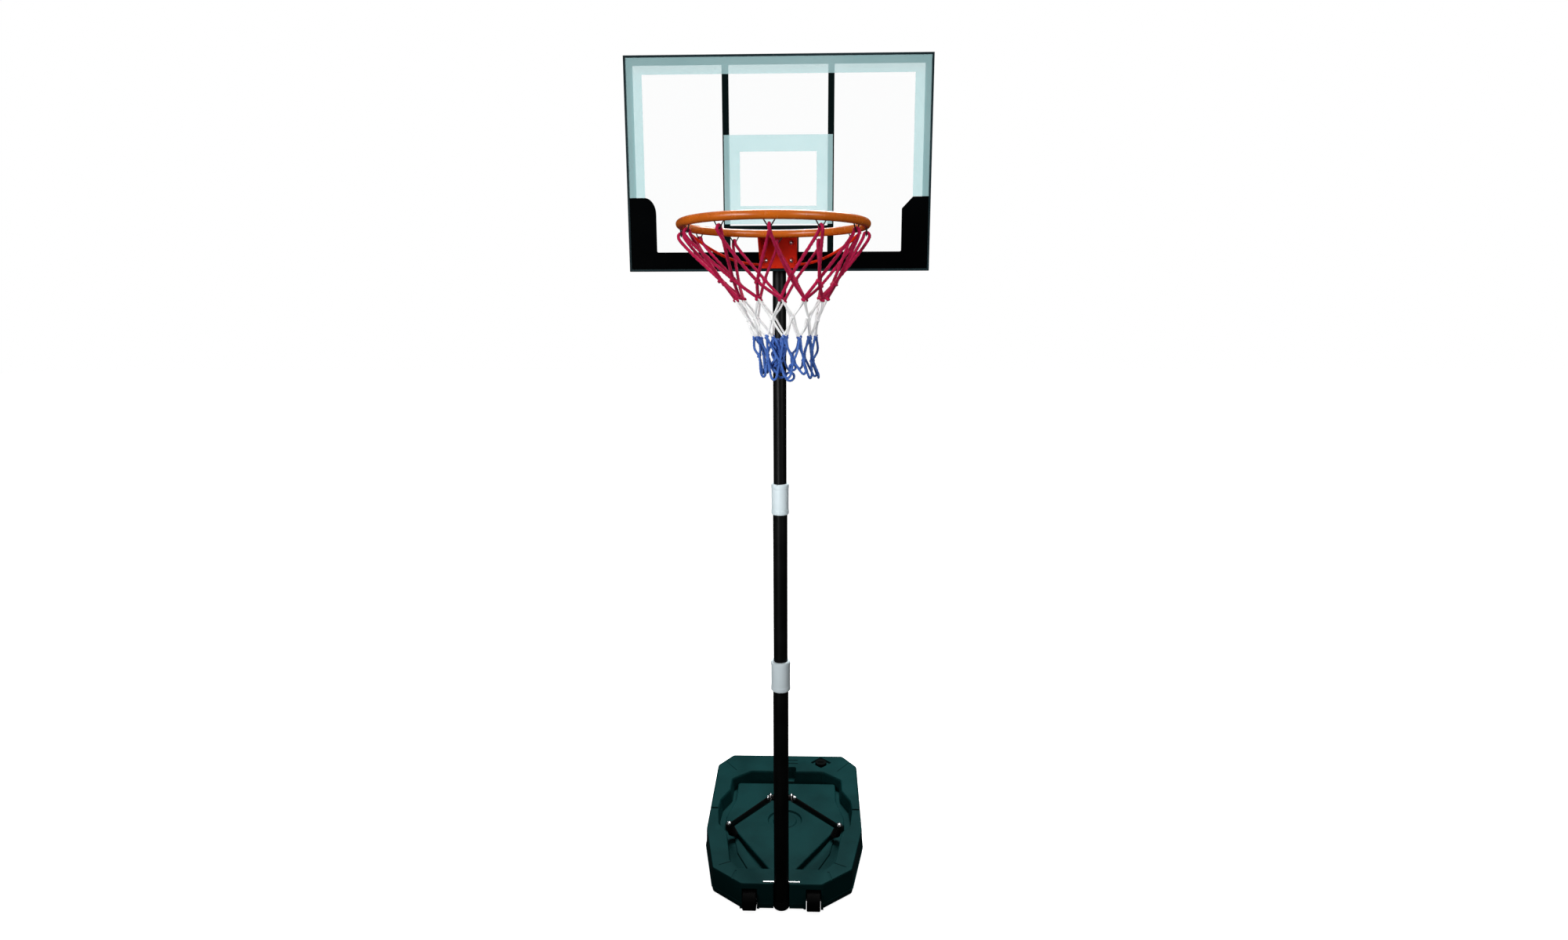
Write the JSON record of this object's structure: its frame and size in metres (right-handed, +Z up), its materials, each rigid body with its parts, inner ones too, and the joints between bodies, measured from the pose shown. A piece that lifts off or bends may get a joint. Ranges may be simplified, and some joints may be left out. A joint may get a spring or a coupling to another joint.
{
  "type": "portable basketball hoop",
  "caption": "Free-standing basketball hoop: clear framed backboard, orange rim with cord net, telescopic pole with clamp collars, two struts and a wheeled ballast tank.",
  "frame": {"origin": "on the floor, below the centre of the hoop's outer box", "axes": "+Z up, -Y towards the rim and the player, +X to the right of a player who faces the board"},
  "size_m": [0.9, 1.542, 2.81],
  "materials": {
    "tank_teal": "satin",
    "cap_black": "satin",
    "seal_rubber": "matte",
    "wheel_black": "satin",
    "zinc_steel": "satin",
    "pole_black": "gloss",
    "sleeve_white": "satin",
    "bush_grey": "satin",
    "knob_black": "satin",
    "insert_brass": "satin",
    "frame_black": "satin",
    "trim_black": "satin",
    "panel_clear": "gloss",
    "print_frost": "satin",
    "print_black": "satin",
    "hook_wire": "satin",
    "rim_orange": "gloss",
    "bracket_orange": "gloss",
    "net_cord": "matte",
    "cord_white": "matte",
    "cord_blue": "matte"
  },
  "bodies": {
    "base": {"base_tank": "tank_teal", "wheel_axles": "zinc_steel", "pole_foot_cap": "knob_black", "pole_lower": "pole_black", "pole_cross_bolt": "zinc_steel", "strut_left": "pole_black", "strut_right": "pole_black", "strut_bolt": "zinc_steel", "strut_nut": "zinc_steel", "strut_spacers": "knob_black", "strut_washers": "zinc_steel", "strut_foot_left": "knob_black", "strut_foot_right": "knob_black", "strut_foot_bolts": "zinc_steel", "sleeve_lower": "sleeve_white", "sleeve_insert_lower": "insert_brass"},
    "wheel_left": {"wheel_left": "wheel_black"},
    "wheel_right": {"wheel_right": "wheel_black"},
    "cap_seal": {"fill_cap_seal": "seal_rubber"},
    "cap": {"fill_cap": "cap_black"},
    "lower_pad": {"clamp_pad_lower": "insert_brass"},
    "lower_knob": {"lock_knob_lower": "knob_black", "lock_stud_lower": "zinc_steel"},
    "upper_pad": {"clamp_pad_upper": "insert_brass"},
    "upper_knob": {"lock_knob_upper": "knob_black", "lock_stud_upper": "zinc_steel"},
    "middle_mast": {"pole_middle": "pole_black", "guide_bush_middle": "bush_grey", "sleeve_upper": "sleeve_white", "sleeve_insert_upper": "insert_brass"},
    "upper_mast": {"pole_top_cap": "knob_black", "pole_upper": "pole_black", "guide_bush_upper": "bush_grey", "board_panel": "panel_clear", "cross_bar": "frame_black", "pole_bracket": "frame_black", "pole_saddle": "knob_black", "u_bolts": "zinc_steel", "u_bolt_nuts": "zinc_steel", "bracket_screws": "zinc_steel", "rim_ring": "rim_orange", "rim_bracket": "bracket_orange", "rim_brace_left": "bracket_orange", "rim_brace_right": "bracket_orange", "rim_bolts": "zinc_steel", "rim_nuts": "zinc_steel", "bolt_spacers": "zinc_steel", "net_hooks": "hook_wire", "net": "net_cord", "frame_rail_top": "frame_black", "edge_trim_top": "trim_black", "frame_rail_bottom": "frame_black", "edge_trim_bottom": "trim_black", "frame_rail_left": "frame_black", "edge_trim_left": "trim_black", "frame_rail_right": "frame_black", "edge_trim_right": "trim_black", "support_bar_left": "frame_black", "support_bar_right": "frame_black"}
  },
  "joints": [
    {"name": "wheel_left_spin", "type": "hinge", "parent": "base", "child": "wheel_left", "pos_m": [-0.113, -0.108, 0.038], "axis": [1, 0, 0], "continuous": true},
    {"name": "wheel_right_spin", "type": "hinge", "parent": "base", "child": "wheel_right", "pos_m": [0.113, -0.108, 0.038], "axis": [1, 0, 0], "continuous": true},
    {"name": "cap_lift", "type": "slide", "parent": "base", "child": "cap_seal", "axis": [0, 0, 1], "range_m": [0, 0.012]},
    {"name": "cap_turn", "type": "hinge", "parent": "cap_seal", "child": "cap", "pos_m": [0.149, 0.704, 0.106], "axis": [0, 0, 1], "range_deg": [0, 1080]},
    {"name": "middle_tube_slide", "type": "slide", "parent": "base", "child": "middle_mast", "axis": [0, 0, 1], "range_m": [-0.24, 0.06]},
    {"name": "upper_tube_slide", "type": "slide", "parent": "middle_mast", "child": "upper_mast", "axis": [0, 0, 1], "range_m": [-0.45, 0.05]},
    {"name": "lower_pad_travel", "type": "slide", "parent": "base", "child": "lower_pad", "axis": [0, 1, 0], "range_m": [0, 0.0025]},
    {"name": "lower_knob_turn", "type": "hinge", "parent": "lower_pad", "child": "lower_knob", "pos_m": [0, -0.0565, 0.915], "axis": [0, 1, 0], "range_deg": [0, 720]},
    {"name": "upper_pad_travel", "type": "slide", "parent": "middle_mast", "child": "upper_pad", "axis": [0, 1, 0], "range_m": [0, 0.0025]},
    {"name": "upper_knob_turn", "type": "hinge", "parent": "upper_pad", "child": "upper_knob", "pos_m": [0, -0.0605, 1.5195], "axis": [0, 1, 0], "range_deg": [0, 720]}
  ],
  "couplings": [
    {"joint": "cap_lift", "follows": "cap_turn", "m_per_rad": 0.00063662},
    {"joint": "lower_pad_travel", "follows": "lower_knob_turn", "m_per_rad": 0.00019894},
    {"joint": "upper_pad_travel", "follows": "upper_knob_turn", "m_per_rad": 0.00019894}
  ]
}
